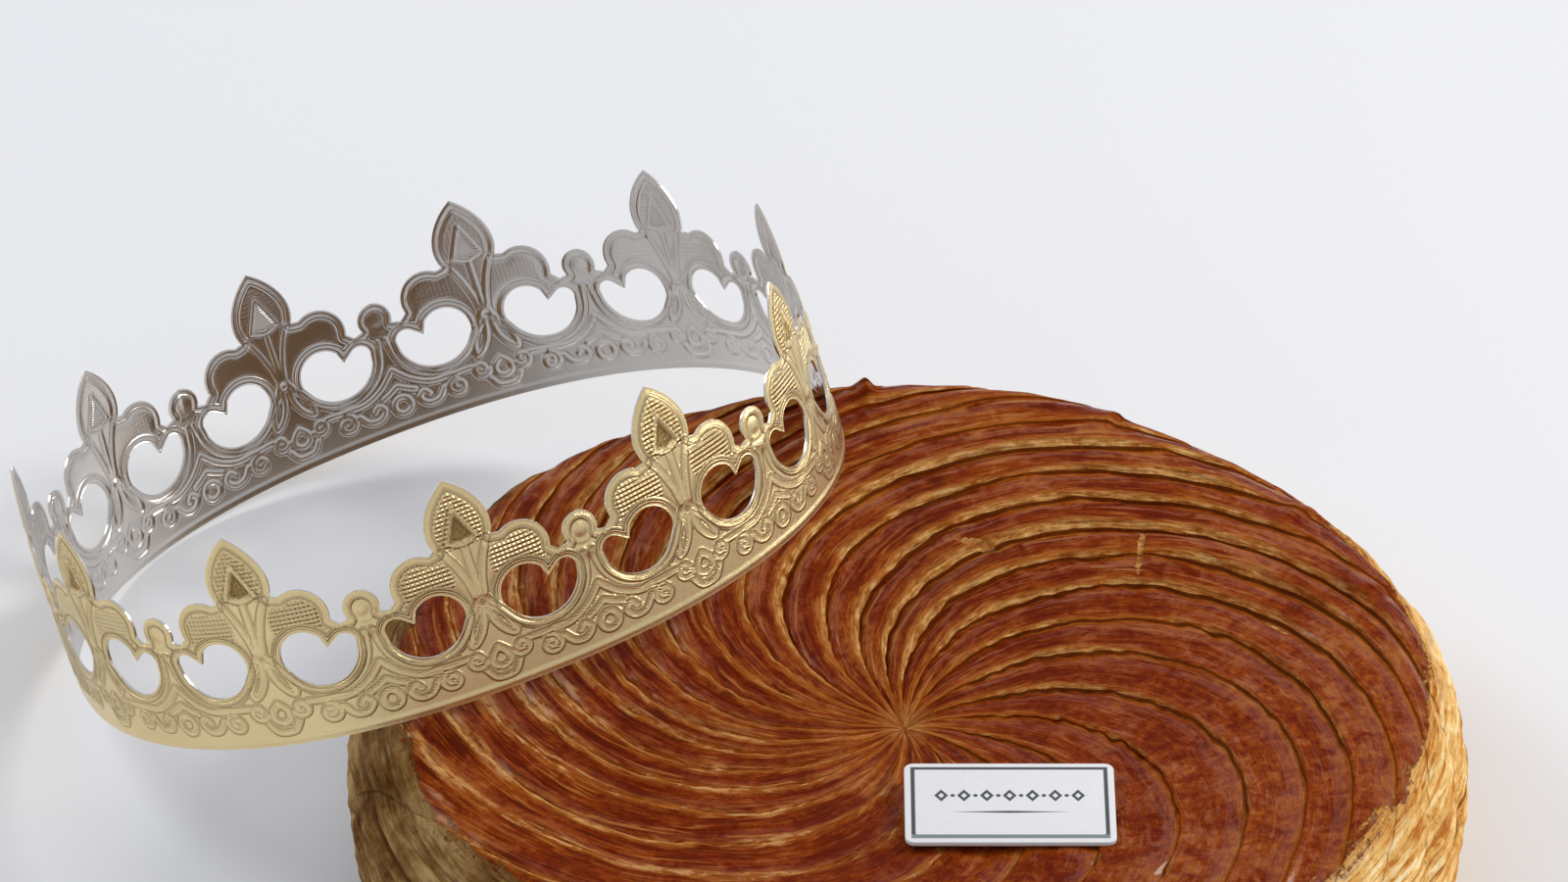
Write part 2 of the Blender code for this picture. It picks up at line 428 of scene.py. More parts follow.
def place_at(level):
    """Where along SECTION its length from the foot reaches a level."""
    low, high = 0, len(LEVELS) - 1
    while high - low > 1:
        middle = (low + high) // 2
        low, high = (middle, high) if LEVELS[middle] <= level else (low, middle)
    return (low + (level - LEVELS[low]) / (LEVELS[high] - LEVELS[low])) / LEVEL_STEPS


def glaze_edge(angle):
    """The place along SECTION where the glaze ends: lower at the back, higher at the front."""
    return 6.15 - 1.05 * math.sin(angle + math.radians(12))


def leaves(angle, level):
    """How far the baked leaves stand out at a level above the foot, and how deep their joints are, which with the left
    folds' creases marks where painted shade darkens the side.
    """
    x, y = math.cos(angle), math.sin(angle)
    left = smooth(0.15, 0.85, -x)
    phase = level / LEAF_PITCH + 0.9 * bump_at(x * 3.2, y * 3.2, level * 70) \
        + 0.35 * bump_at(x * 15, y * 15, level * 160)
    number = math.floor(phase)
    share = phase - number
    strength = 0.5 + 0.5 * bump_at(x * 4.5, y * 4.5, number * 2.3)
    belly = (4 * share * (1 - share)) ** 0.7
    joint = math.exp(-(min(share, 1 - share) / 0.17) ** 2)
    open_joint = max(0.0, 0.15 + 1.2 * bump_at(x * 9, y * 9, number * 9.1)) * mix(1.0, 0.4, left)
    rise = mix(1.0, 0.35, left) * (0.3 + 0.9 * strength) * MM * belly - 1.5 * MM * joint * open_joint
    # broad soft folds, deepest on the left
    fold = level / FOLD_PITCH + 0.45 * bump_at(x * 1.8, y * 1.8, 4.0) + 0.25 * bump_at(x * 5, y * 5, level * 60)
    fold_share = fold - math.floor(fold)
    fold_belly = math.sin(math.pi * fold_share) ** 0.55
    rise += mix(0.6, 3.4, left) * MM * (fold_belly - 0.75)
    # the left folds' creases, where the colour is darkened as painted shade
    crease = left * math.exp(-(min(fold_share, 1 - fold_share) / 0.12) ** 2)
    rise += 0.9 * MM * bump_at(x * 2.6, y * 2.6, level * 60)
    rise += 0.40 * MM * bump_at(x * 34, y * 34, level * 420)
    return rise, max(joint * min(1.0, open_joint), crease)


def flute(angle, radius, cuts_at_rim):
    """How strongly a cut runs down the side at an angle, 0 to 1."""
    turn = cut_turn(radius)
    dip = 0.0
    for place in cuts_at_rim:
        away = (angle - place - turn + math.pi) % math.tau - math.pi
        if abs(away) < 0.06:
            dip = max(dip, math.exp(-(away / 0.022) ** 2))
    return dip


def crust_rows():
    """Places along SECTION for the crust's rows, so that they are about even along a ridge."""
    places = [SKIRT]
    last = len(SECTION) - 1
    while places[-1] < last:
        place = places[-1]
        point, way = along(SECTION, place)
        reach = math.hypot(way[0] * RADIUS, way[1] * HEIGHT)
        slant = 1 / math.hypot(1, cut_sweep(point[0] * RADIUS))
        spacing = mix(0.62 * MM, ALONG_RIDGE * slant, smooth(5.0, 6.4, place))
        places.append(place + spacing / reach)
    places[-1] = last
    return places


def rim_lift(angle, place):
    """Skin that stands up at the back rim, and drops away at its torn corner."""
    turn = math.degrees(angle) % 360
    lift = sum(height * MM * smooth(start, start + ramp, turn) * smooth(end, end - fade, turn)
               for start, ramp, end, fade, height in RIM_LIFTS)
    return lift * smooth(5.2, 5.9, place) * smooth(7.6, 6.4, place)


LAYERS = (("float", "gap"), ("float", "flank"), ("float", "reach"), ("float", "glaze"), ("float", "groove"),
          ("float", "torn"), ("float_vector", "ridge"), ("float_vector", "leaf"))


def build_crust(name, first, count, material):
    """A run of ridges with the cuts between them, as a closed wedge that follows the swirl."""
    places = crust_rows()
    floor = along(SECTION, SKIRT)[0][1] * HEIGHT
    memory = {}

    def row_facts(row):
        """What all of a row's points share."""
        if row not in memory:
            place = places[row]
            point, way = along(SECTION, place)
            radius, height = point[0] * RADIUS, point[1] * HEIGHT
            out = Vector((way[1] * HEIGHT, -way[0] * RADIUS)).normalized()
            cuts = [cut_place(number, radius) for number in range(first, first + count + 1)]
            turn = cut_turn(radius)
            gapes = [openness(first + number, cut + turn, radius) for number, cut in enumerate(cuts)]
            sweep = cut_sweep(radius)
            slant = 1 / math.hypot(1, sweep)
            memory[row] = (place, radius, height, out, turn, cuts, gapes, slant, -sweep * slant)
        return memory[row]

    def point(column, row):
        place, radius, height, out, turn, cuts, gapes, slant, lean = row_facts(row)
        number, step = divmod(column, COLUMNS_PER_CUT)
        if number == count:
            number, step = count - 1, COLUMNS_PER_CUT
        even = step / COLUMNS_PER_CUT
        share = even - COLUMN_PULL * math.sin(math.tau * even) / math.tau
        own = mix(cuts[number], cuts[number + 1], share)
        angle = own + turn
        width = radius * (cuts[number + 1] - cuts[number]) * slant
        after, before = share * width, (1 - share) * width
        size = min(1.0, width / (8 * MM)) ** 1.4
        # the torn wall that each ridge shows above the cut before it, and its rolled far edge
        reach = mix(0.30, 2.1, gapes[number]) * MM * size
        deep = mix(0.16, 1.25, gapes[number]) * MM * size
        fall = -deep * max(0.0, 1 - after / max(reach, 1e-6)) ** 0.9
        fall += 0.20 * MM * size * math.exp(-((after - reach * 1.15) / (0.9 * MM)) ** 2)
        deep = mix(0.16, 1.25, gapes[number + 1]) * MM * size
        roll = min(0.40 * width, mix(1.8, 4.2, gapes[number + 1]) * MM)
        fall -= deep * max(0.0, 1 - before / max(roll, 1e-6)) ** 2.0
        crest = max(0.0, 1 - abs(2 * share - 1) ** 2.4)
        standing = mix(0.25, 1.15, min(1.0, 1.8 * mix(gapes[number], gapes[number + 1], share)))
        fall += size * standing * (RIDGE_TILT * (0.5 - share) + RIDGE_CROWN * (crest - 1) * 0.5)
        fall += CREST[(first + number) % CUTS] * crest * size
        # puffed and wrinkled skin
        across = after - width / 2
        run = run_length(radius - across * lean)
        offset = (first + number) * 3.7
        puffs = 0.60 * MM * bump_at(offset, run * 42, across * 30) + 0.34 * MM * bump_at(offset, run * 130, across * 90)
        lines = 0.30 * MM * bump_at(offset, run * 24, across * 420)
        spot = Vector((radius * math.cos(angle), radius * math.sin(angle)))
        lump = 0.8 * MM * bump_at(spot.x * 40, spot.y * 40, 3.0)
        middle = smooth(0.0, 12 * MM, radius)
        top = smooth(4.9, 6.5, place)
        level = level_at(place)
        leaf, groove = leaves(angle, level)
        near_cut = max(math.exp(-(after / (2.0 * MM)) ** 2), math.exp(-(before / (2.0 * MM)) ** 2))
        rise = top * (middle * (fall + (puffs + lines) * crest * size) + lump)
        rise += (1 - top) * (leaf - 1.3 * MM * near_cut)
        torn = tear(Vector((radius * math.cos(angle), radius * math.sin(angle) + swirl_shift(radius))))
        rise -= 0.7 * MM * torn
        lift = rim_lift(angle, place)
        reach_out = radius + wobble(angle, radius) + rise * out[0]
        glaze = min(12.0, max(-12.0, (level - level_at(glaze_edge(angle))) / MM))
        spot = Vector((reach_out * math.cos(angle), reach_out * math.sin(angle) + swirl_shift(radius),
                       height + rise * out[1] + lift))
        if row == 0:
            spot.z = floor
        flank = 0.0 if step in (0, COLUMNS_PER_CUT) else math.copysign(1.0, 0.5 - share)
        return spot, (min(after, before) / MM, flank * top, reach * smooth(5.4, 6.6, place) / MM, glaze,
                      groove * (1 - top), torn,
                      Vector((across / MM, run / MM, offset * 11)),
                      Vector((RADIUS / MM * math.cos(angle), RADIUS / MM * math.sin(angle), level / MM)))

    bm = grid_piece(count * COLUMNS_PER_CUT, len(places) - 1, point, LAYERS)
    bmesh.ops.remove_doubles(bm, verts=bm.verts[:], dist=1e-6)
    open_edges = [edge for edge in bm.edges if edge.is_boundary]
    for edge in open_edges:
        edge.smooth = False
    flanks = [edge for edge in open_edges if max(vert.co.z for vert in edge.verts) > floor + 1e-6]
    dropped = bmesh.ops.extrude_edge_only(bm, edges=flanks)["geom"]
    for vert in dropped:
        if isinstance(vert, bmesh.types.BMVert):
            vert.co.z = floor
    bmesh.ops.remove_doubles(bm, verts=bm.verts[:], dist=1e-6)
    bmesh.ops.triangle_fill(bm, edges=[edge for edge in bm.edges if edge.is_boundary], use_beauty=True)
    bmesh.ops.recalc_face_normals(bm, faces=bm.faces[:])
    return finished(name, bm, material)


def build_side(material):
    """The leaved side and the underside, closed under the crust."""
    top_level = level_at(SKIRT) - 0.3 * MM
    top = along(SECTION, place_at(top_level))[0][1] * HEIGHT
    foot = SECTION[0][0] * RADIUS
    under = [(0.0, 0.0), (0.5 * foot, 0.0), (0.93 * foot, 0.0)]
    over = [(0.95 * RADIUS, top), (0.5 * RADIUS, top), (0.0, top)]
    side_rows = round(top_level / (0.45 * MM))
    rows = len(under) + side_rows + 1 + len(over)
    cuts_at_rim = [cut_place(number, RADIUS) for number in range(CUTS)]

    def point(column, row):
        angle = math.tau * column / SIDE_COLUMNS
        x, y = math.cos(angle), math.sin(angle)
        flat = (0.0, 0.0, 0.0, -12.0, 0.0, 0.0, Vector((0, 0, 0)), Vector((RADIUS / MM * x, RADIUS / MM * y, 0)))
        if row < len(under):
            radius, height = under[row]
            return Vector((radius * x, radius * y, height)), flat
        if row > len(under) + side_rows:
            radius, height = over[row - len(under) - side_rows - 1]
            return Vector((radius * x, radius * y, height)), flat
        level = top_level * (row - len(under)) / side_rows
        place = place_at(level)
        section = along(SECTION, place)[0]
        radius, height = section[0] * RADIUS, section[1] * HEIGHT
        rise, groove = leaves(angle, level)
        rise -= 1.3 * MM * flute(angle, radius, cuts_at_rim) * smooth(0.2, 0.6, height / HEIGHT)
        rise *= smooth(0.0, 0.06, height / HEIGHT) * 0.85 + 0.15
        reach = radius + wobble(angle, radius) + rise
        glaze = max(-12.0, (level - level_at(glaze_edge(angle))) / MM)
        return Vector((reach * x, reach * y, height)), \
            (0.0, 0.0, 0.0, glaze, groove, 0.0, Vector((0, 0, 0)), Vector((RADIUS / MM * x, RADIUS / MM * y, level / MM)))

    bm = close_round(grid_piece(SIDE_COLUMNS, rows - 1, point, LAYERS))
    return finished("galette_side", bm, material)


# ---- pastry finish ----

def pastry_finish():
    f = Finish("baked_pastry")
    here = f.place()
    ridge = f.attribute("ridge", output=1)
    leaf = f.attribute("leaf", output=1)
    gap, flank, reach, glaze, groove, torn = (f.attribute(name) for name in (
        "gap", "flank", "reach", "glaze", "groove", "torn"))
    parts = f.node("SeparateXYZ", None, {0: here})
    right = parts * (1 / RADIUS)
    back = Value(f, parts.socket.node.outputs[1]) * (1 / RADIUS)
    # patterns: long streaks along a ridge, wrinkles across it, soft patches and fine specks
    streaks = f.grain(f.scaled(ridge, (0.40, 0.045, 1.0)), 1.0, 3.0, 0.55, 0.3)
    fibres = f.grain(f.scaled(ridge, (2.2, 0.20, 1.0)), 1.0, 3.0, 0.6)
    threads = f.grain(f.scaled(ridge, (0.85, 0.060, 1.0)), 1.0, 2.0, 0.6, 0.5)
    wrinkles = f.grain(f.scaled(ridge, (0.12, 0.26, 1.0)), 1.0, 4.0, 0.6, 0.6)
    patches = f.grain(here, 42.0, 3.0)
    mottle = f.grain(f.scaled(ridge, (0.20, 0.17, 1.0)), 1.0, 4.0, 0.65, 1.0)
    specks = f.grain(here, 800.0, 3.0, 0.75)
    rag = f.grain(f.scaled(ridge, (0.35, 0.30, 1.0)), 1.0, 4.0, 0.65)
    front = f.step(right * 0.75 - back * 0.65, -0.05, 0.55)
    pattern = f.node("Mix", {"data_type": "FLOAT"}, {0: front, 2: streaks, 3: wrinkles})
    crest = f.step(gap, 1.5, 4.0)
    left_front = f.step(right * -0.8 - back * 0.6, 0.0, 0.5)
    even = f.grain(f.scaled(ridge, (0.55, 0.40, 1.0)), 1.0, 4.0, 0.7)
    drawn = f.node("Mix", {"data_type": "FLOAT"}, {0: front * 0.85, 2: threads, 3: even})
    tone = pattern * 0.18 + drawn * 0.20 + mottle * 0.20 + fibres * 0.10 + patches * 0.20 + specks * 0.12
    run = f.node("SeparateXYZ", None, {0: ridge}, output=1)
    inner = f.step(run, 75.0, 25.0)
    tone = tone - (crest - 0.6) * 0.012 - left_front * 0.014 - inner * 0.016
    glazed = f.ramp(tone, (0.430, (0.120, 0.0090, 0.0006)), (0.470, (0.170, 0.0180, 0.0009)),
                    (0.503, (0.225, 0.0330, 0.0019)), (0.537, (0.285, 0.0560, 0.0040)),
                    (0.585, (0.370, 0.1050, 0.0110)))
    worn = f.step(streaks * 0.35 + fibres * 0.65, 0.53, 0.63) * (1 - crest * 0.8)
    glazed = f.blend(worn * (0.55 - front * 0.35 - left_front * 0.2), glazed, (0.44, 0.150, 0.024))
    stringy = 1 - front * 0.8
    glazed = f.blend(f.step(threads, 0.42, 0.35) * (0.50 - crest * 0.15 + left_front * 0.2) * stringy, glazed, (0.060, 0.0085, 0.0010))
    glazed = f.blend(f.step(threads, 0.60, 0.68) * (0.60 - crest * 0.40 + left_front * 0.2) * stringy, glazed, (0.46, 0.185, 0.036))
    # the side's dough: leaves of cream and gold, toasted brown on the left
    leafing = f.grain(f.scaled(leaf, (0.035, 0.035, 0.42)), 1.0, 4.0, 0.58, 0.3)
    flakes = f.grain(f.scaled(leaf, (0.10, 0.10, 1.3)), 1.0, 3.0, 0.6, 0.4)
    crumb = f.grain(here, 320.0, 4.0, 0.65)
    edge = glaze + (leafing - 0.5) * 16.0 + (patches - 0.5) * 12.0 + (crumb - 0.5) * 9.0
    dough_tone = leafing * 0.42 + flakes * 0.28 + crumb * 0.18 + patches * 0.12
    dough = f.ramp(dough_tone, (0.42, (0.500, 0.165, 0.028)), (0.46, (0.690, 0.340, 0.085)),
                   (0.50, (0.830, 0.490, 0.160)), (0.535, (0.950, 0.650, 0.270)),
                   (0.58, (1.000, 0.850, 0.560)))
    toasted = f.ramp(dough_tone * 0.6 + patches * 0.25 + 0.075, (0.42, (0.070, 0.024, 0.0050)), (0.46, (0.135, 0.060, 0.0150)),
                     (0.51, (0.240, 0.128, 0.0400)), (0.58, (0.450, 0.290, 0.1200)))
    dough = f.blend(f.step(edge, -6.5, -0.5) * 0.75, dough, f.ramp(
        flakes, (0.40, (0.380, 0.110, 0.014)), (0.60, (0.700, 0.330, 0.080))))
    dough = f.blend(f.step(right * -1.0 + (patches - 0.5) * 0.5, 0.05, 0.65), dough, toasted)
    # a cut: torn golden wall on one side, painted shade in its bottom, thin amber glaze along one lip, and painted
    # glints along that lip at the left front
    ragged = (rag - 0.5) * 2.6 + (specks - 0.5) * 1.2
    near_side = f.step(flank, 0.05, 0.5)
    far_side = f.step(flank, -0.05, -0.5)
    wall = f.step(gap - reach + ragged * 0.5, 0.50, -0.70) * near_side
    golden = f.ramp(fibres * 0.55 + rag * 0.45, (0.38, (0.240, 0.065, 0.009)), (0.46, (0.400, 0.150, 0.030)),
                    (0.53, (0.530, 0.260, 0.075)), (0.62, (0.720, 0.450, 0.180)))
    golden = f.blend(f.step(threads, 0.46, 0.37) * 0.45, golden, (0.130, 0.032, 0.0050))
    lip = f.step(gap - reach + ragged, 1.8, 0.0) * (near_side * (1 - front) + far_side * (front + left_front * 0.6))
    amber_and_glint = f.blend(lip * (0.75 - front * 0.25), glazed, f.ramp(fibres, (0.35, (0.280, 0.060, 0.006)), (0.62, (0.430, 0.135, 0.019))))
    # painted highlight: bright gold glints on the lips at the left front
    painted_glint = lip * left_front * f.step(rag * 0.35 + threads * 0.30 + patches * 0.35, 0.50, 0.57)
    amber_and_glint = f.blend(painted_glint * 0.75, amber_and_glint, (0.76, 0.44, 0.17))
    open_wall = wall * f.step(reach + (rag - 0.5) * 1.8, 0.35, 0.90) * (1 - front * 0.75)
    bare = f.step(torn + (rag - 0.5) * 1.6 + (specks - 0.5) * 0.6, 0.42, 0.62)
    pit = f.step(run + (rag - 0.5) * 12.0, 9.0, 2.0) * 0.45
    scored = f.blend(f.node("Math", {"operation": "MAXIMUM"}, {0: open_wall, 1: pit}), amber_and_glint, golden)
    # painted shade: the bottom of each cut is darkened where shade falls in the crack
    cut_bottom_shade = f.step(gap - front * 0.16 + (rag - 0.5) * 1.4, 0.22, 0.0) * f.step(reach + (rag - 0.5) * 2.0, 0.25, 0.80)
    cut_bottom_shade = cut_bottom_shade * f.step(mottle * 0.5 + threads * 0.5, 0.44, 0.54)
    scored = f.blend(cut_bottom_shade * (front * 0.35 + 0.12), scored, (0.030, 0.007, 0.0016))
    scored = f.blend(bare * 0.85, scored, golden)
    skin = f.step(edge + (specks - 0.5) * 6.0, -1.2, 1.2)
    colour = f.blend(skin, dough, scored)
    # painted shade: the open leaf joints and the left folds' creases are darkened
    colour = f.blend(f.step(groove + (specks - 0.5) * 0.3, 0.25, 0.95) * 0.75, colour, (0.075, 0.026, 0.006))
    # gloss: strongest where a ridge rolls down behind, in patches
    rolled = f.step(gap, 0.5, 1.8) * f.step(gap, 7.0, 2.5) * far_side
    sheen = f.step(patches * 0.25 + threads * 0.35 + mottle * 0.40 + rolled * 0.10 + front * 0.03, 0.52, 0.61)
    shine = skin * (1 - open_wall) * (1 - bare) * f.step(gap, 0.3, 1.0)
    height = pattern * 0.4 + threads * 0.8 + mottle * 0.4 + fibres * 0.5 + specks * 0.25 \
        + (1 - skin) * (leafing * 0.9 + flakes * 0.9 + crumb * 0.5)
    f.shader.inputs["Specular IOR Level"].default_value = 0.06
    f.shader.inputs["Specular Tint"].default_value = (1.0, 0.42, 0.16, 1.0)
    f.shader.inputs["Coat Roughness"].default_value = 0.20
    return f.end(Base_Color=colour, Roughness=0.62 - shine * 0.22 + specks * 0.1,
                 Coat_Weight=shine * sheen * (0.52 - left_front * 0.24 - inner * 0.2), Normal=f.bump(height, 0.0011, 0.8))


# ---- crown ----

def oval_table():
    """Points round the oval, with the length of band from the first one to each."""
    points, lengths = [], [0.0]
    for step in range(OVAL_SAMPLES + 1):
        angle = math.tau * step / OVAL_SAMPLES
        across, long = math.sin(angle), math.cos(angle)
        points.append(Vector((
            OVAL_LONG * math.copysign(abs(long) ** (2 / OVAL_POWER), long),
            OVAL_SHORT * math.copysign(abs(across) ** (2 / OVAL_POWER), across),
        )))
        if step:
            lengths.append(lengths[-1] + (points[-1] - points[-2]).length)
    return points, lengths


def oval_at(length, points, lengths):
    """The point at a length of band round the oval, and the way out from there."""
    length %= lengths[-1]
    low, high = 0, OVAL_SAMPLES
    while high - low > 1:
        middle = (low + high) // 2
        low, high = (middle, high) if lengths[middle] <= length else (low, middle)
    share = (length - lengths[low]) / (lengths[high] - lengths[low])
    before = points[(low - 4) % OVAL_SAMPLES]
    after = points[(high + 4) % OVAL_SAMPLES]
    run = after - before
    return points[low].lerp(points[high], share), Vector((run.y, -run.x)).normalized()


def arc(middle, radius, sweep, steps):
    """Points of an arc, from one angle in degrees to another."""
    start, end = sweep
    angles = [math.radians(mix(start, end, step / steps)) for step in range(steps + 1)]
    return [(middle[0] + radius * math.cos(angle), middle[1] + radius * math.sin(angle))
            for angle in angles]


def curve(points, steps=10):
    """A smooth line through points, as many short steps."""
    if len(points) < 3:
        return [tuple(Vector(points[0]).lerp(Vector(points[1]), step / steps)) for step in range(steps + 1)]
    count = (len(points) - 1) * steps
    return [tuple(along(points, step / steps)[0]) for step in range(count)] + [tuple(points[-1])]


def scroll(middle, start, turns, first, last, steps=24):
    """A spiral stroke, from its outer radius in to its eye."""
    points = []
    for step in range(steps + 1):
        share = step / steps
        angle = math.radians(start) + math.tau * turns * share
        radius = mix(first, last, share)
        points.append((middle[0] + radius * math.cos(angle), middle[1] + radius * math.sin(angle)))
    return points


def leaf_side(steps):
    """The right side of the middle leaf, from its tip down to its foot, as a cubic curve."""
    ends = ((0.0, LEAF_TIP), *LEAF_BULGE, LEAF_FOOT)
    points = []
    for step in range(steps + 1):
        t = step / steps
        shares = ((1 - t) ** 3, 3 * t * (1 - t) ** 2, 3 * t * t * (1 - t), t ** 3)
        points.append(tuple(sum(share * end[axis] for share, end in zip(shares, ends))
                            for axis in range(2)))
    return points


def fleur_edge(half):
    """The top edge of half a fleur, from its axis out to the middle of the disc."""
    points = leaf_side(14)
    points += arc(LOBE_MIDDLE, LOBE_RADIUS, LOBE_SWEEP, 18)
    points.append(NOTCH)
    points += arc((half, DISC_HEIGHT), DISC_RADIUS, DISC_SWEEP, 12)
    return points


def hole_edge():
    """The heart-shaped cut-out under the right side lobe, with a small hook at the stem."""
    points = [HOLE_BARB]
    points += arc(HOLE_HEAD, HOLE_HEAD_RADIUS, HOLE_HEAD_SWEEP, 16)
    points += arc(HOLE_BELLY, HOLE_BELLY_RADIUS, HOLE_BELLY_SWEEP, 18)
    points += arc(HOLE_TAIL, HOLE_TAIL_RADIUS, HOLE_TAIL_SWEEP, 8)
    return points


def mirrored(strokes):
    return strokes + [[(-across, up) for across, up in stroke] for stroke in strokes]


def raised_strokes(half):
    """The lines embossed in one fleur and its share of the band, in metres on the flat card."""
    one_side = [
        curve([(5.4, 37.6), (3.3, 33.4), (1.7, 28.6), (0.9, 24.6)]),
        curve([(3.4, 39.2), (0.0, 46.8)]),
        curve([(3.4, 39.2), (0.0, 37.9)]),
        curve([(0.7, 21.4), (3.0, 19.6), (4.9, 16.6), (5.3, 13.0), (3.3, 14.2), (1.5, 17.2), (0.7, 21.4)]),
        curve([(1.6, 22.6), (4.6, 17.8), (8.0, 13.9), (12.6, 12.0), (17.6, 12.3), (21.8, 14.6),
               (24.6, 18.6), (25.8, 24.6)]),
        curve([(7.6, 10.4), (12.6, 10.2), (18.0, 10.2), (23.0, 12.6), (26.8, 16.4)]),
        scroll((12.2, 6.8), 90.0, -1.6, 2.5, 0.4),
        scroll((5.4, 9.2), 200.0, 1.4, 2.1, 0.4),
        curve([(0.0, 3.4), (2.2, 3.8), (3.8, 6.0)]),
        curve([(0.0, 11.0), (1.9, 9.0), (1.8, 6.9), (0.0, 5.9)]),
        curve([(15.6, 7.6), (17.6, 5.2), (20.4, 4.9), (22.2, 6.9), (20.8, 8.4), (19.6, 7.2)]),
        curve([(22.6, 9.6), (24.4, 10.4), (26.8, 11.8)]),
        scroll((half / MM, 6.6), 0.0, 1.0, 2.2, 2.2),
    ]
    strokes = mirrored(one_side)
    strokes += [curve([(0.0, 36.6), (0.0, 24.4)]), scroll((0.0, 22.9), 0.0, 1.0, 1.3, 1.3)]
    return [[(across * MM, up * MM) for across, up in stroke] for stroke in strokes]


def near_tree(lines, spacing=0.25 * MM):
    """A tree of points along lines, to find how far a place is from them."""
    spots = []
    for line in lines:
        for start, end in zip(line, line[1:]):
            start, end = Vector(start), Vector(end)
            count = max(1, math.ceil((end - start).length / spacing))
            spots += [start.lerp(end, step / count) for step in range(count + 1)]
    tree = kdtree.KDTree(len(spots))
    for index, spot in enumerate(spots):
        tree.insert((*spot, 0.0), index)
    tree.balance()
    return tree


def ridge_line(gap, width):
    return math.exp(-(gap / width) ** 2)


def add_loop(bm, points):
    verts = [bm.verts.new((*point, 0.0)) for point in points]
    for start, end in zip(verts, verts[1:] + verts[:1]):
        bm.edges.new((start, end))


def temporary(name, bm):
    mesh = bpy.data.meshes.new(name)
    bm.to_mesh(mesh)
    bm.free()
    made = bpy.data.objects.new(name, mesh)
    bpy.context.scene.collection.objects.link(made)
    return made


def cut_card(half):
    """One fleur of the flat strip as a fine slab, cut to its outline."""
    slab = bmesh.new()
    bmesh.ops.create_grid(slab, x_segments=round(2 * half / FLAT_CELL), y_segments=round(LEAF_TIP / FLAT_CELL),
                          size=0.5)
    bmesh.ops.scale(slab, verts=slab.verts[:], vec=(2 * half, LEAF_TIP + FLAT_CELL, 1.0))
    bmesh.ops.translate(slab, verts=slab.verts[:], vec=(0.0, (LEAF_TIP + FLAT_CELL) / 2, CARD / 2))
    bmesh.ops.solidify(slab, geom=slab.faces[:], thickness=CARD)
    bmesh.ops.recalc_face_normals(slab, faces=slab.faces[:])
    past = half + 2 * MM
    right = fleur_edge(half) + [(past, DISC_HEIGHT + DISC_RADIUS)]
    left = [(-across, up) for across, up in reversed(right[1:])]
    cutter = bmesh.new()
    add_loop(cutter, [(-past, -2 * MM), *left, *right, (past, -2 * MM)])
    for side in (1, -1):
        add_loop(cutter, [(side * across, up) for across, up in hole_edge()])
    bmesh.ops.triangle_fill(cutter, edges=cutter.edges[:], use_beauty=True)
    bmesh.ops.translate(cutter, verts=cutter.verts[:], vec=(0.0, 0.0, -3 * MM))
    raised = bmesh.ops.extrude_face_region(cutter, geom=cutter.faces[:])["geom"]
    lifted = [part for part in raised if isinstance(part, bmesh.types.BMVert)]
    bmesh.ops.translate(cutter, verts=lifted, vec=(0.0, 0.0, 6 * MM))
    bmesh.ops.recalc_face_normals(cutter, faces=cutter.faces[:])
    whole, shape = temporary("card", slab), temporary("card_cutter", cutter)
    cut = whole.modifiers.new("cut", "BOOLEAN")
    cut.operation = "INTERSECT"
    cut.object = shape
    evaluated = whole.evaluated_get(bpy.context.evaluated_depsgraph_get())
    bm = bmesh.new()
    bm.from_mesh(evaluated.to_mesh())
    for made in (whole, shape):
        bpy.data.objects.remove(made, do_unlink=True)
    return bm


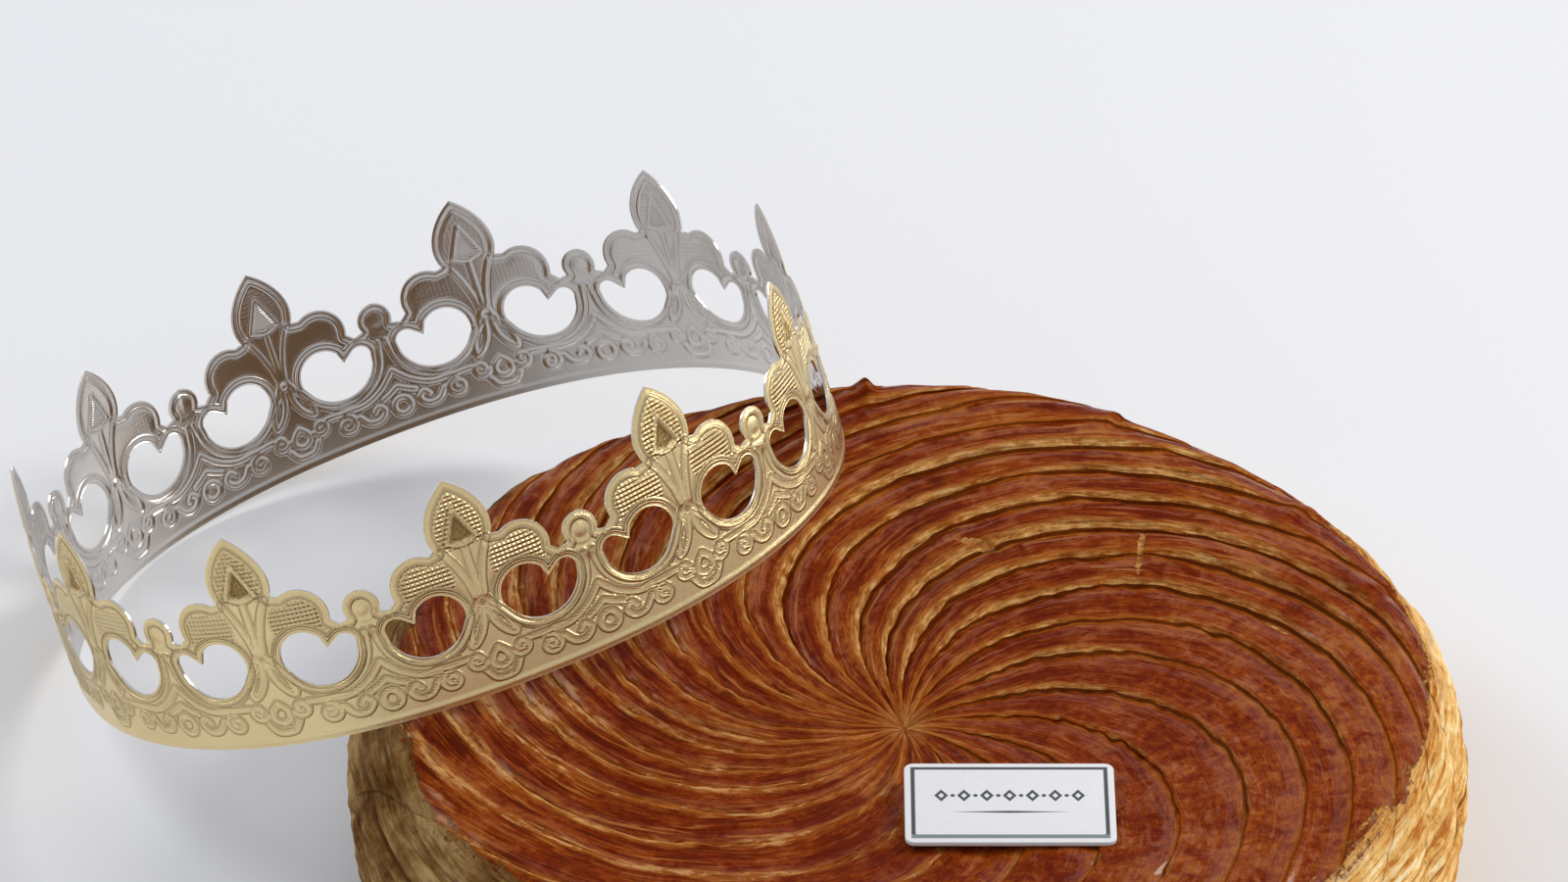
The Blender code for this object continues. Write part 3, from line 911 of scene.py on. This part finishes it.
def emboss(bm, half):
    """Raises the ornament on the flat card, and marks what is stippled and which side is gold."""
    edge_lines = mirrored([fleur_edge(half)]) + [loop + loop[:1] for loop in mirrored([hole_edge()])]
    edges = near_tree(edge_lines)
    holes = near_tree([loop + loop[:1] for loop in mirrored([hole_edge()])])
    strokes = near_tree(raised_strokes(half))
    stipple = bm.verts.layers.float.new("stipple")
    hollow = bm.verts.layers.float.new("hollow")
    to_edge, to_hole, to_line = (bm.verts.layers.float.new(name) for name in ("to_edge", "to_hole", "to_line"))
    sheet = bm.loops.layers.uv.new("sheet")
    bmesh.ops.triangulate(bm, faces=[face for face in bm.faces if len(face.verts) > 4])
    for face in bm.faces:
        face.material_index = 0 if face.normal.z > 0.5 else 1
        for loop in face.loops:
            loop[sheet].uv = (loop.vert.co.x / (10 * MM), loop.vert.co.y / (10 * MM))
    for vert in bm.verts:
        across, up = abs(vert.co.x), vert.co.y
        spot = (vert.co.x, up, 0.0)
        edge = edges.find(spot)[2]
        hole = holes.find(spot)[2]
        line = strokes.find(spot)[2]
        vert[to_edge], vert[to_hole], vert[to_line] = edge / MM, hole / MM, line / MM
        disc = math.hypot(half - across, up - DISC_HEIGHT)
        petal = smooth(22 * MM, 25 * MM, up) * smooth(DISC_RADIUS - 0.2 * MM, DISC_RADIUS + 0.6 * MM, disc)
        leaf = smooth(36.5 * MM, 38.5 * MM, up)
        inside = edge - 0.1 * MM
        rise = 0.5 * MM * petal * smooth(0.0, 4.0 * MM, edge)
        rise += 0.34 * MM * ridge_line(edge - 0.75 * MM, 0.55 * MM) * smooth(1.5 * MM, 3 * MM, up)
        rise -= 0.30 * MM * ridge_line(edge - 1.75 * MM, 0.45 * MM) * petal
        rise += 0.30 * MM * ridge_line(edge - 2.55 * MM, 0.42 * MM) * leaf
        rise += 0.40 * MM * ridge_line(line, 0.50 * MM)
        rise += 0.45 * MM * smooth(2.6 * MM, 0.6 * MM, disc) + 0.3 * MM * ridge_line(disc - 3.3 * MM, 0.4 * MM)
        rise += 0.3 * MM * ridge_line(up - 1.3 * MM, 0.45 * MM)
        panel = smooth(3.4 * MM, 2.6 * MM, across + (up - 39.3 * MM) * 0.44) * smooth(38.4 * MM, 39.4 * MM, up)
        rise -= 0.35 * MM * panel
        vert[hollow] = panel
        lobe = smooth(LOBE_RADIUS + 0.8 * MM, LOBE_RADIUS - 0.8 * MM,
                      math.hypot(across - LOBE_MIDDLE[0] + 0.8 * MM, up - LOBE_MIDDLE[1] + 0.5 * MM))
        vert[stipple] = max(lobe, leaf) * smooth(1.9 * MM, 2.5 * MM, inside) * smooth(0.3 * MM, 0.8 * MM, line) \
            * smooth(2.0 * MM, 2.5 * MM, hole)
        side = 1.0 if vert.co.z > 0 else 0.4
        vert.co.z += rise * side


def crown_turn():
    """How the crown is turned on its oval and then leaned."""
    return Matrix.Rotation(math.radians(LEAN_HEADING), 3, "Z") @ Matrix.Rotation(math.radians(LEAN), 3, "Y") \
        @ Matrix.Rotation(math.radians(OVAL_TURN), 3, "Z")


def crown_middle():
    """Where the middle of the band's foot goes, so that the crown fills the frame's box."""
    points, lengths = oval_table()
    pitch = lengths[-1] / FLEURS
    turn = crown_turn()
    spots = [turn @ Vector((*spot, 0.0)) for spot in points]
    for number in range(FLEURS):
        tip = oval_at((FIRST_FLEUR * FLEURS - number) * pitch, points, lengths)[0]
        spots.append(turn @ Vector((*tip, LEAF_TIP)))
    middle = [(min(spot[axis] for spot in spots) + max(spot[axis] for spot in spots)) / 2 for axis in range(3)]
    return (crown_low + crown_high) / 2 - Vector(middle)


def build_crown(name, first, count, materials, nodes_place):
    """A run of fleurs, bent on the oval and leaned like the frame's crown."""
    points, lengths = oval_table()
    pitch = lengths[-1] / FLEURS
    bm = cut_card(pitch / 2)
    emboss(bm, pitch / 2)
    walls = [face for face in bm.faces
             if all(abs(abs(vert.co.x) - pitch / 2) < 1e-6 for vert in face.verts)]
    bmesh.ops.delete(bm, geom=walls, context="FACES")
    one_fleur = bm.verts[:] + bm.edges[:] + bm.faces[:]
    for number in range(1, count):
        copied = bmesh.ops.duplicate(bm, geom=one_fleur)["geom"]
        verts = [part for part in copied if isinstance(part, bmesh.types.BMVert)]
        bmesh.ops.translate(bm, verts=verts, vec=(pitch * number, 0, 0))
    bmesh.ops.remove_doubles(bm, verts=bm.verts[:], dist=2e-5)
    ends = [edge for edge in bm.edges if edge.is_boundary]
    bmesh.ops.holes_fill(bm, edges=ends)
    start = FIRST_FLEUR * lengths[-1] - first * pitch
    for vert in bm.verts:
        place, out = oval_at(start - vert.co.x, points, lengths)
        number = (first + round(vert.co.x / pitch)) % FLEURS
        tip = TIP_LEANS[number] * MM * smooth(24 * MM, 60 * MM, vert.co.y)
        spot = place + out * (vert.co.z + tip)
        vert.co = (spot.x, spot.y, vert.co.y)
    bmesh.ops.recalc_face_normals(bm, faces=bm.faces[:])
    bmesh.ops.rotate(bm, verts=bm.verts[:], cent=(0, 0, 0), matrix=crown_turn())
    bmesh.ops.translate(bm, verts=bm.verts[:], vec=nodes_place)
    made = finished(name, bm, materials[0], smooth_angle=50)
    made.data.materials.append(materials[1])
    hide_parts("crown")
    return made


def foil_finish(name, base, deep, roughness, relief, stippled):
    """Metal foil on embossed card: fine stipple in the petals, a soft brushed grain elsewhere, and painted shade in its
    panels, grooves and pits.
    """
    f = Finish(name)
    sheet = f.node("UVMap", {"uv_map": "sheet"})
    parts = f.node("SeparateXYZ", None, {0: sheet})
    across = parts
    up = Value(f, parts.socket.node.outputs[1])
    stipple = f.attribute("stipple") * stippled
    hollow = f.attribute("hollow")
    weave = f.node("Math", {"operation": "SINE"}, {0: (across + up) * 29.0}) \
        * f.node("Math", {"operation": "SINE"}, {0: (across - up) * 29.0})
    lines = f.node("Math", {"operation": "SINE"}, {0: up * 105.0 + across * 30.0})
    brushed = f.grain(f.scaled(sheet, (30.0, 400.0, 1.0)), 1.0, 3.0)
    here = f.place()
    dull = f.grain(here, 60.0, 3.0)
    to_edge, to_hole, to_line = (f.attribute(name) for name in ("to_edge", "to_hole", "to_line"))
    petal = f.step(up, 2.2, 2.5)
    rims = f.band(to_edge, 0.6, 0.55) + f.band(to_hole, 0.6, 0.55) + f.band(to_line, 0.0, 0.55)
    grooves = f.band(to_edge, 1.75, 0.50) * petal + f.band(to_hole, 1.7, 0.45) + f.band(to_line, 0.95, 0.40) * 0.8
    height = weave * stipple * 0.8 + lines * hollow * 0.7 + brushed * 0.12 + rims * 0.5 - grooves * 0.7
    # a random dull tone, and painted shade darkening the recessed panels
    colour = f.blend(dull * 0.5 + hollow * 0.45, base, deep)
    # painted shade: the relief's grooves and the stipple's pits are darkened
    stipple_pit_shade = f.step(weave, -0.1, -0.8) * stipple * 0.20
    worn = f.step(grooves, 0.0, 1.0) * 0.40 + stipple_pit_shade
    colour = f.blend(worn * relief, colour, (deep[0] * 0.3, deep[1] * 0.27, deep[2] * 0.25))
    return f.end(Base_Color=colour, Metallic=1.0, Roughness=dull * 0.16 + (roughness - 0.08),
                 Normal=f.bump(height, 0.00036, relief))


# ---- label ----

def card_finish():
    """White card with a printed frame, a row of lozenges and a swelled rule, and painted shade along its front edge."""
    f = Finish("printed_card")
    here = f.place()
    middle = (label_low + label_high) / 2
    local = f.node("VectorMath", {"operation": "SUBTRACT"}, {0: here, 1: tuple(middle)})
    parts = f.node("SeparateXYZ", None, {0: local})
    across = parts * 1000.0
    along_y = Value(f, parts.socket.node.outputs[1]) * 1000.0
    half_x = (label_high.x - label_low.x) * 500.0
    half_y = (label_high.y - label_low.y) * 500.0
    # the frame: how far a place is from the card's edge, in mm
    side = f.node("Math", {"operation": "MINIMUM"}, {0: half_x - abs(across), 1: half_y - abs(along_y)})
    # printed frame line; near the front edge its band is drawn wider and grey-blue as painted shade
    front = f.step(along_y, -half_y + 3.2, -half_y + 2.6)
    frame_and_edge_shade = f.step(side, 1.35, 1.60) * (1 - f.step(side - front * 0.7, 2.30, 2.55))
    # a row of lozenges with a dot between each two
    pitch = 5.2
    row = f.node("Math", {"operation": "PINGPONG"}, {0: across + pitch * 20, 1: pitch / 2})
    up = abs(along_y - 2.6)
    lozenge = 1 - f.step(row * 1.35 + up, 2.0, 2.35)
    inner = 1 - f.step(row * 1.35 + up, 0.8, 1.05)
    gap = pitch / 2 - row
    dot = 1 - f.step((gap * gap + up * up) ** 0.5, 0.45, 0.62)
    within = 1 - f.step(abs(across), pitch * 3.4, pitch * 3.4 + 0.1)
    motif = f.node("Math", {"operation": "MAXIMUM"}, {0: lozenge - inner, 1: dot}) * within
    rule = 1 - f.step(abs(along_y + 3.4) + abs(across) * 0.030, 0.32, 0.50)
    ink = f.node("Math", {"operation": "MAXIMUM"}, {0: motif, 1: rule})
    ink = f.node("Math", {"operation": "MAXIMUM"}, {0: ink, 1: frame_and_edge_shade})
    fibre = f.grain(here, 900.0, 4.0)
    paper = f.blend(fibre, (0.73, 0.73, 0.74), (0.82, 0.82, 0.83))
    ink_and_edge_shade = f.blend(front * frame_and_edge_shade, (0.055, 0.062, 0.070), (0.20, 0.24, 0.25))
    return f.end(Base_Color=f.blend(ink, paper, ink_and_edge_shade), Roughness=0.42,
                 Normal=f.bump(fibre - ink * 0.5, 0.00006, 0.4))


def build_label(material):
    size = label_high - label_low
    middle = (label_high + label_low) / 2
    bm = bmesh.new()
    bmesh.ops.create_cube(bm, size=1.0)
    bmesh.ops.scale(bm, verts=bm.verts[:], vec=size)
    corners = [edge for edge in bm.edges if abs(edge.verts[0].co.z - edge.verts[1].co.z) > size.z / 2]
    bmesh.ops.bevel(bm, geom=corners, offset=2.2 * MM, offset_type="OFFSET", segments=8, profile=0.5,
                    affect="EDGES", material=-1)
    flat = [edge for edge in bm.edges if abs(edge.verts[0].co.z - edge.verts[1].co.z) < size.z / 2]
    bmesh.ops.bevel(bm, geom=flat, offset=0.25 * MM, offset_type="OFFSET", segments=3, profile=0.5,
                    affect="EDGES", material=-1)
    bmesh.ops.translate(bm, verts=bm.verts[:], vec=middle)
    label = finished("label_card", bm, material, smooth_angle=40)
    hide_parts("label")
    return label


# ---- stage ----

def build_stage():
    bm = bmesh.new()
    bmesh.ops.create_grid(bm, x_segments=2, y_segments=2, size=6.0)
    mesh = bpy.data.meshes.new("floor")
    bm.to_mesh(mesh)
    bm.free()
    f = Finish("pale_floor")
    mesh.materials.append(f.end(Base_Color=(0.80, 0.805, 0.825), Roughness=0.6))
    floor = bpy.data.objects.new("floor", mesh)
    bpy.context.scene.collection.objects.link(floor)


def add_light(name, place, target, size, power, colour=(1.0, 1.0, 1.0)):
    data = bpy.data.lights.new(name, "AREA")
    data.shape = "DISK"
    data.size = size
    data.energy = power
    data.color = colour
    lamp = bpy.data.objects.new(name, data)
    lamp.location = place
    lamp.rotation_euler = (Vector(target) - Vector(place)).to_track_quat("-Z", "Y").to_euler()
    bpy.context.scene.collection.objects.link(lamp)


def build_light():
    world = bpy.data.worlds.new("studio")
    world.use_nodes = True
    back = world.node_tree.nodes["Background"]
    back.inputs["Color"].default_value = (0.93, 0.95, 1.0, 1.0)
    back.inputs["Strength"].default_value = 0.62
    bpy.context.scene.world = world
    add_light("key", (1.45, 0.45, 1.15), (0, 0, 0), 0.8, 19.0, (1.0, 0.97, 0.93))
    add_light("fill", (-1.2, 0.6, 1.2), (0, 0, 0), 0.8, 7.0, (0.95, 0.97, 1.0))
    bpy.context.scene.view_settings.view_transform = "Standard"


def build_camera():
    """A long lens, 36 degrees above the table."""
    elevation = math.radians(36.0)
    distance = 2.0
    aim = Vector((-0.0279, 0.0, 0.122))
    data = bpy.data.cameras.new("camera")
    data.sensor_width = 36.0
    data.lens = 202.3
    data.clip_end = 50.0
    camera = bpy.data.objects.new("camera", data)
    camera.location = aim + Vector((0, -math.cos(elevation), math.sin(elevation))) * distance
    camera.rotation_euler = (math.pi / 2 - elevation, 0.0, 0.0)
    bpy.context.scene.collection.objects.link(camera)
    bpy.context.scene.camera = camera


pastry = pastry_finish()
share_of_cuts = CUTS // CRUST_PIECES
for number in range(CRUST_PIECES):
    crust = build_crust(f"galette_crust_{number + 1}", number * share_of_cuts, share_of_cuts, pastry)
    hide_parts("galette")
side = build_side(pastry)
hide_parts("galette")
foils = (foil_finish("gold_foil", (0.93, 0.75, 0.40), (0.74, 0.55, 0.27), 0.22, 1.0, 1.0),
         foil_finish("silver_foil", (0.75, 0.735, 0.71), (0.56, 0.50, 0.44), 0.22, 0.35, 0.1))
crown_place = crown_middle()
near = build_crown("crown_near", 0, 6, foils, crown_place)
far = build_crown("crown_far", 6, 5, foils, crown_place)
build_label(card_finish())
build_stage()
build_light()
build_camera()
